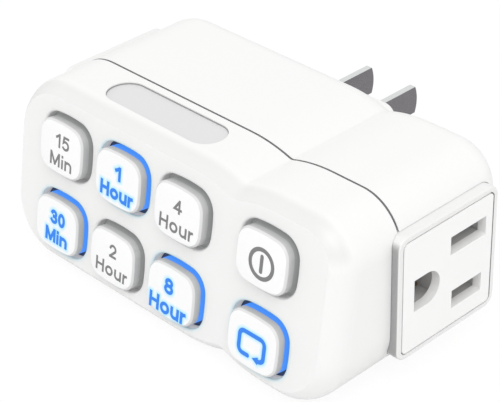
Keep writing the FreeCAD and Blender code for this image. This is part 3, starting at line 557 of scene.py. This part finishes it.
# name, colour, roughness, grain's width and depth in millimetres
# painted shade: the contact block is painted grey for the shade inside the slots
paintedShadeBlockUrea = plainMaterial("paintedShadeBlockUrea", "C8C8C8", 0.4, 0.5, 0.005, IOR=1.55)  # moulded grey urea, half matt
plateUrea = plainMaterial("plateUrea", "F8F8F7", 0.3, 0.6, 0.004, IOR=1.55)  # pressed white urea, glossier
bronze = plainMaterial("stampedBronze", "AE9679", 0.3, 0.3, 0.003, Metallic=1.0)  # bright from the press
nylon = plainMaterial("mouldedNylon", "131314", 0.5, 0.4, 0.006, IOR=1.53)  # black glass-filled nylon, dull
zinc = plainMaterial("zincSteel", "B4B6B2", 0.35, 0.5, 0.004, Metallic=1.0)  # bright zinc plate
fibreglass = plainMaterial(  # green solder mask, mottled by the glass cloth under it
    "maskedFibreglass", "0E4A2A", 0.4, 1.2, 0.01, "14603A", IOR=1.55
)
relayNylon = plainMaterial("relayNylon", "1D3F78", 0.42, 0.5, 0.006, IOR=1.53)  # moulded blue case, dull
pottedFilm = plainMaterial("pottedFilm", "C79A2A", 0.38, 0.8, 0.01, IOR=1.53)  # moulded yellow box, satin
canSleeve = plainMaterial("canSleeve", "1B1C26", 0.25, 2.0, 0.01, IOR=1.5)  # shrunk vinyl sleeve, glossy
dippedEpoxy = plainMaterial("dippedEpoxy", "1F4C8F", 0.28, 1.5, 0.02, IOR=1.55)  # dipped coat, a little wavy
lacquer = plainMaterial("resistorLacquer", "66777C", 0.4, 0.6, 0.01, IOR=1.5)  # flameproof grey coat, dull
lensEpoxy = plainMaterial("lensEpoxy", "E9EBE4", 0.15, 1.0, 0.002, IOR=1.5)  # cast clear LED tops, glossy

finishes = {
    "front_cover": coverAbs, "rear_housing": bodyAbs, "cover_screws": zinc, "power_board_screws": zinc,
    "button_board_screws": zinc, "line_strip": bronze, "neutral_strip": bronze, "ground_strip": bronze,
    "line_blade": nickel, "neutral_blade": nickel, "ground_pin": nickel, "blade_carrier": nylon,
    "power_board": fibreglass, "button_board": fibreglass, "relay": relayNylon, "film_capacitor": pottedFilm,
    "filter_capacitor": canSleeve, "varistor": dippedEpoxy, "fuse_resistor": lacquer, "tact_switches": nylon,
    "ring_leds": lensEpoxy, "board_link": nylon, "timer_chip": nylon,
}
for side in ("right", "left"):
    finishes[side + "_outlet_bezel"] = bezelAbs
    finishes[side + "_outlet_plate"] = plateUrea
    finishes[side + "_contact_block"] = paintedShadeBlockUrea
    for contact in ("line", "neutral", "ground"):
        finishes[side + "_" + contact + "_contact"] = bronze
for name in buttons:
    lit = name in litButtons
    finishes["cap_" + name] = capLit if lit else capOff
    finishes["light_ring_" + name] = ringLit if lit else ringOff
    finishes["stem_" + name] = nylon
for name, material in finishes.items():
    giveMaterial(nodes[name], material)
print("materials given to", len(finishes), "nodes")

# Legends: letters and symbols drawn as strokes along their centre lines, printed thinly on each cap's top

legend = {
    "lift": 0.03, "stroke": 0.52, "strokeLit": 0.72, "letterGap": 0.37, "arcStep": 12,
    "glowStep": 0.12, "glowReach": 0.9, "glowFalloff": 1.5,
}

# centre lines one unit tall; six numbers make an arc: centre, radii, from and to in degrees
letters = {
    "H": ([(0, 0), (0, 1)], [(0.74, 0), (0.74, 1)], [(0, 0.52), (0.74, 0.52)]),
    "M": (
        [(0, 0), (0, 1)], [(0.06, 0.94), (0.46, 0.05)], [(0.46, 0.05), (0.86, 0.94)], [(0.92, 0), (0.92, 1)],
    ),
    "o": ([(0.34, 0.34, 0.34, 0.34, 0, 360)],),
    "u": ([(0, 0.68), (0.3, 0.26, 0.3, 0.26, 180, 360)], [(0.6, 0), (0.6, 0.68)]),
    "n": ([(0, 0), (0, 0.68)], [(0.3, 0.42, 0.3, 0.26, 180, 0), (0.6, 0)]),
    "r": ([(0, 0), (0, 0.68)], [(0.34, 0.36, 0.34, 0.32, 180, 98)]),
    "i": ([(0, 0), (0, 0.62)], [(0, 0.98), (0, 1)]),
    "0": ([(0.3, 0.5, 0.3, 0.5, 0, 360)],),
    "1": ([(0.34, 0), (0.34, 1)], [(0.3, 0.97), (0.02, 0.76)]),
    "2": ([(0.3, 0.7, 0.3, 0.3, 168, -32), (0.06, 0.05)], [(0, 0), (0.6, 0)]),
    "3": ([(0.28, 0.76, 0.26, 0.24, 158, -90)], [(0.28, 0.265, 0.31, 0.265, 90, -155)]),
    "4": ([(0.42, 0.92), (0, 0.27), (0.66, 0.27)], [(0.48, 0), (0.48, 1)]),
    "5": ([(0.55, 1), (0.12, 1), (0.28, 0.33, 0.31, 0.33, 134, -140)],),
    "8": ([(0.3, 0.76, 0.25, 0.24, 0, 360)], [(0.3, 0.265, 0.3, 0.265, 0, 360)]),
}

# each word's outer width and height, and its middle's place on its cap
words = {
    "15_min": (("15", 4.3, 3.1, 0.54, 1.72), ("Min", 6.83, 3.0, 0.36, -2.64)),
    "30_min": (("30", 4.6, 3.2, 0.44, 1.72), ("Min", 7.0, 3.15, 0.25, -2.61)),
    "1_hour": (("1", 1.85, 3.15, 0.17, 1.61), ("Hour", 9.83, 3.16, 0.17, -2.71)),
    "2_hour": (("2", 2.1, 3.0, 0.38, 1.75), ("Hour", 9.58, 3.0, 0.3, -2.54)),
    "4_hour": (("4", 2.3, 2.95, 0.2, 1.66), ("Hour", 9.58, 3.05, 0.12, -2.67)),
    "8_hour": (("8", 2.58, 3.5, -0.38, 1.46), ("Hour", 10.6, 3.55, -0.32, -3.26)),
}


def pathPoints(path):
    points = []
    for part in path:
        if len(part) == 2:
            points.append(part)
            continue
        x, y, wide, tall, start, end = part
        steps = max(2, round(abs(end - start) / legend["arcStep"]))
        for k in range(steps + 1):
            angle = math.radians(start + (end - start) * k / steps)
            points.append((x + wide * math.cos(angle), y + tall * math.sin(angle)))
    return points


def newHolder(name, bm):
    mesh = bpy.data.meshes.new(name)
    bm.to_mesh(mesh)
    bm.free()
    holder = bpy.data.objects.new(name, mesh)
    bpy.context.scene.collection.objects.link(holder)
    return holder


def evaluated(holder):
    bpy.context.view_layer.update()
    mesh = bpy.data.meshes.new_from_object(holder.evaluated_get(bpy.context.evaluated_depsgraph_get()))
    bm = bmesh.new()
    bm.from_mesh(mesh)
    bpy.data.meshes.remove(mesh)
    return bm


def strokeBmesh(points, width, lift, corner=0.0, roundEnds=False):
    # a low ribbon stands on the centre line, and Solidify gives it the stroke's width
    points = [Vector((x, y, 0)) for x, y in points]
    closed = (points[0] - points[-1]).length < 0.001
    if closed:
        points.pop()
    elif not roundEnds:
        points[0] += (points[0] - points[1]).normalized() * width / 2
        points[-1] += (points[-1] - points[-2]).normalized() * width / 2
    bm = bmesh.new()
    run = [bm.verts.new(point) for point in points]
    for first, second in zip(run, run[1:] + run[:1] if closed else run[1:]):
        bm.edges.new((first, second))
    if corner:
        bmesh.ops.bevel(
            bm, geom=run[1:-1], offset=corner, segments=10, profile=0.5, affect="VERTICES", material=-1
        )
    made = bmesh.ops.extrude_edge_only(bm, edges=bm.edges[:])
    raisedVerts = [v for v in made["geom"] if isinstance(v, bmesh.types.BMVert)]
    bmesh.ops.translate(bm, verts=raisedVerts, vec=(0, 0, lift))
    bmesh.ops.recalc_face_normals(bm, faces=bm.faces)
    holder = newHolder("ribbon", bm)
    thick = holder.modifiers.new("width", "SOLIDIFY")
    thick.thickness = width
    thick.offset = 0
    thick.use_even_offset = True
    bm = evaluated(holder)
    bpy.data.objects.remove(holder)
    return bm


def dotBmesh(x, y, width, lift):
    bm = bmesh.new()
    bmesh.ops.create_cone(
        bm, cap_ends=True, segments=32, radius1=width / 2, radius2=width / 2, depth=lift,
        matrix=Matrix.Translation((x, y, lift / 2)),
    )
    return bm


def inkUnion(strokes):
    # overlapping strokes become one skin
    holders = [newHolder("stroke", bm) for bm in strokes]
    others = bpy.data.collections.new("strokes")
    for holder in holders[1:]:
        others.objects.link(holder)
    if holders[1:]:
        together = holders[0].modifiers.new("together", "BOOLEAN")
        together.operation = "UNION"
        together.solver = "EXACT"
        together.operand_type = "COLLECTION"
        together.collection = others
    bm = evaluated(holders[0])
    for holder in holders:
        bpy.data.objects.remove(holder)
    bpy.data.collections.remove(others)
    return bm


def wordStrokes(text, wide, tall, x, y, width):
    # letters set side by side, then stretched so that the inked word has its width and height
    paths, pen = [], 0.0
    for letter in text:
        for path in letters[letter]:
            paths.append([(pen + px, py) for px, py in pathPoints(path)])
        pen = max(px for path in paths for px, py in path) + legend["letterGap"]
    run = pen - legend["letterGap"]
    across, up = (wide - width) / run, tall - width
    return [
        [(x + (px - run / 2) * across, y + (py - 0.5) * up) for px, py in path] for path in paths
    ]


powerSign = {"middle": (0.29, -0.5), "ringRadius": 2.93, "ringSides": 72, "stroke": 0.84, "barLength": 3.95}
repeatSign = {
    "stroke": 0.93, "left": -3.2, "right": 3.4, "top": 1.72, "bottom": -3.05, "corner": 1.15,
    "gapStart": -0.7, "arrowBase": 2.1, "arrowTip": 0.5, "arrowHalf": 0.85, "arrowRound": 0.14,
}


def powerLegend(lift):
    x, y = powerSign["middle"]
    width = powerSign["stroke"]
    radius, sides = powerSign["ringRadius"], powerSign["ringSides"]
    angles = [math.tau * k / sides for k in range(sides + 1)]
    ring = strokeBmesh([(x + radius * math.cos(a), y + radius * math.sin(a)) for a in angles], width, lift)
    reach = (powerSign["barLength"] - width) / 2
    ends = [(x, y - reach), (x, y + reach)]
    bar = strokeBmesh(ends, width, lift, roundEnds=True)
    return inkUnion([bar] + [dotBmesh(*end, width, lift) for end in ends] + [ring])


def repeatLegend(lift):
    sign = repeatSign
    path = [
        (sign["gapStart"], sign["bottom"]), (sign["left"], sign["bottom"]), (sign["left"], sign["top"]),
        (sign["right"], sign["top"]), (sign["right"], sign["bottom"]), (sign["arrowBase"], sign["bottom"]),
    ]
    line = strokeBmesh(path, sign["stroke"], lift, sign["corner"], roundEnds=True)
    start = dotBmesh(*path[0], sign["stroke"], lift)
    arrow = bmesh.new()
    corners = [
        arrow.verts.new((sign["arrowTip"], sign["bottom"], 0)),
        arrow.verts.new((sign["arrowBase"], sign["bottom"] - sign["arrowHalf"], 0)),
        arrow.verts.new((sign["arrowBase"], sign["bottom"] + sign["arrowHalf"], 0)),
    ]
    arrow.faces.new(corners)
    bmesh.ops.bevel(
        arrow, geom=corners, offset=sign["arrowRound"], segments=3, profile=0.5, affect="VERTICES",
        material=-1,
    )
    made = bmesh.ops.extrude_face_region(arrow, geom=arrow.faces[:], use_keep_orig=True)
    top = [v for v in made["geom"] if isinstance(v, bmesh.types.BMVert)]
    bmesh.ops.translate(arrow, verts=top, vec=(0, 0, lift))
    bmesh.ops.recalc_face_normals(arrow, faces=arrow.faces)
    return inkUnion([line, start, arrow])


def wordLegend(name, lit, lift):
    width = legend["strokeLit"] if lit else legend["stroke"]
    paths = [path for word in words[name] for path in wordStrokes(*word, width)]
    return inkUnion([strokeBmesh(path, width, lift) for path in paths])


def legendPoints(bm):
    # points along every edge of a legend, for the spread of its painted light
    points = []
    for edge in bm.edges:
        first, second = edge.verts[0].co, edge.verts[1].co
        count = max(1, int((second - first).length / legend["glowStep"]))
        points += [first.lerp(second, k / count) for k in range(count + 1)]
    return points


# Caps: squircle outline from spun arcs, bevelled top edge, skirt and post below

# bow and corner are the outline's two radii, and inset is how far it stays inside the well
cap = {
    "bow": 32.6, "corner": 4.4, "inset": 0.89, "base": 0.1, "bevel": 0.43, "crease": 0.09,
    "ringWall": 1.35, "skirtLength": 1.7, "skirtWall": 1.0, "ceiling": 0.8, "postRadius": 2.0,
    "postDepth": 4.0, "grid": 0.22, "gridReach": 7.0,
}


def squircle(bm, outset, height):
    # a quarter of the outline is three spun arcs, and two mirrors make the rest
    halfX, halfY = face["wellWide"] / 2, face["wellTall"] / 2
    top = Vector((0, halfY - cap["bow"], height))
    side = Vector((halfX - cap["bow"], 0, height))
    across = side - top
    rise = math.sqrt((cap["bow"] - cap["corner"]) ** 2 - across.length_squared / 4) / across.length
    bend = (top + side) / 2 + Vector((across.y, -across.x, 0)) * rise
    low = math.atan2(bend.y - side.y, bend.x - side.x)
    high = math.atan2(bend.y - top.y, bend.x - top.x)
    tip = bm.verts.new((halfX + outset, 0, height))
    for centre, angle, steps in ((side, low, 14), (bend, high - low, 16), (top, math.pi / 2 - high, 14)):
        spun = bmesh.ops.spin(
            bm, geom=[tip], cent=centre, axis=(0, 0, 1), angle=angle, steps=steps, use_merge=False
        )
        tip = [v for v in spun["geom_last"] if isinstance(v, bmesh.types.BMVert)][0]
    for axis in ("X", "Y"):
        bmesh.ops.mirror(
            bm, geom=bm.verts[:] + bm.edges[:], matrix=Matrix.Identity(4), merge_dist=0.001, axis=axis
        )
    bmesh.ops.remove_doubles(bm, verts=bm.verts, dist=0.001)
    return bmesh.ops.contextual_create(bm, geom=bm.edges[:])["faces"][0]


def pushed(bm, part, height):
    # extrudes one face straight up or down and returns the moved face
    made = bmesh.ops.extrude_discrete_faces(bm, faces=[part])["faces"][0]
    bmesh.ops.translate(bm, verts=made.verts[:], vec=(0, 0, height))
    return made


def capBmesh(lit):
    bm = bmesh.new()
    bottom = squircle(bm, -cap["inset"], cap["base"])
    if bottom.normal.z > 0:
        bottom.normal_flip()
    made = bmesh.ops.extrude_face_region(bm, geom=[bottom], use_keep_orig=True)
    topFace = [g for g in made["geom"] if isinstance(g, bmesh.types.BMFace)][0]
    bmesh.ops.translate(bm, verts=topFace.verts[:], vec=(0, 0, capTop - cap["base"]))
    bmesh.ops.bevel(
        bm, geom=topFace.edges[:], offset=cap["bevel"], segments=1, profile=0.5, affect="EDGES", material=-1
    )
    # the bevel's two creases are softened in turn
    creases = [
        e for e in bm.edges for level in (capTop, capTop - cap["bevel"])
        if all(abs(v.co.z - level) < 1e-5 for v in e.verts)
    ]
    bmesh.ops.bevel(
        bm, geom=creases, offset=cap["crease"], segments=3, profile=0.5, affect="EDGES", material=-1
    )
    bottom = min(bm.faces, key=lambda f: f.calc_center_median().z)
    bmesh.ops.inset_region(bm, faces=[bottom], thickness=cap["ringWall"], use_even_offset=True)
    bottom = pushed(bm, bottom, -cap["skirtLength"])
    bmesh.ops.inset_region(bm, faces=[bottom], thickness=cap["skirtWall"], use_even_offset=True)
    bottom = pushed(bm, bottom, cap["skirtLength"] + cap["ceiling"] - cap["base"])
    depth = cap["ceiling"] + cap["postDepth"]
    bmesh.ops.create_cone(
        bm, cap_ends=True, segments=32, radius1=cap["postRadius"], radius2=cap["postRadius"], depth=depth,
        matrix=Matrix.Translation((0, 0, cap["ceiling"] - depth / 2)),
    )
    if lit:
        # a fine grid over the top face holds the painted glow's attribute
        for axis in (Vector((1, 0, 0)), Vector((0, 1, 0))):
            place = -cap["gridReach"]
            while place < cap["gridReach"]:
                top = [f for f in bm.faces if all(abs(v.co.z - capTop) < 0.001 for v in f.verts)]
                geom = set(top)
                for f in top:
                    geom.update(f.verts)
                    geom.update(f.edges)
                bmesh.ops.bisect_plane(bm, geom=list(geom), dist=0.0005, plane_co=axis * place, plane_no=axis)
                place += cap["grid"]
    return bm


def spreadGlow(mesh, points, place):
    # how much of the legend's painted light each point of the cap's top gets
    tree = KDTree(len(points))
    for index, point in enumerate(points):
        tree.insert(Vector((point.x, point.y, 0)), index)
    tree.balance()
    glow = mesh.attributes.new("legendGlow", "FLOAT", "POINT")
    back = place.inverted()
    for index, vert in enumerate(mesh.vertices):
        flat = back @ vert.co
        if flat.z > capTop - 0.01:
            away = tree.find(Vector((flat.x, flat.y, 0)))[2]
            glow.data[index].value = max(0.0, 1 - away / legend["glowReach"]) ** legend["glowFalloff"]


for name in buttons:
    lit = name in litButtons
    place = onFace @ Matrix.Translation((*buttonPlace(name), 0))
    lift = legend["lift"]
    if name == "power":
        drawn = powerLegend(lift)
    elif name == "repeat":
        drawn = repeatLegend(lift)
    else:
        drawn = wordLegend(name, lit, lift)
    points = legendPoints(drawn) if lit else []
    shell = finishPiece(
        "capShell_" + name, capBmesh(lit), place, capLit if lit else capOff, "button_" + name,
        smoothAngle=20, replaced=("cap_" + name,),
    )
    if lit:
        spreadGlow(shell.data, points, place)
    finishPiece(
        "legend_" + name, drawn, place @ Matrix.Translation((0, 0, capTop)), inkLit if lit else inkOff,
        "button_" + name, smoothAngle=30,
    )
print("caps and legends made")
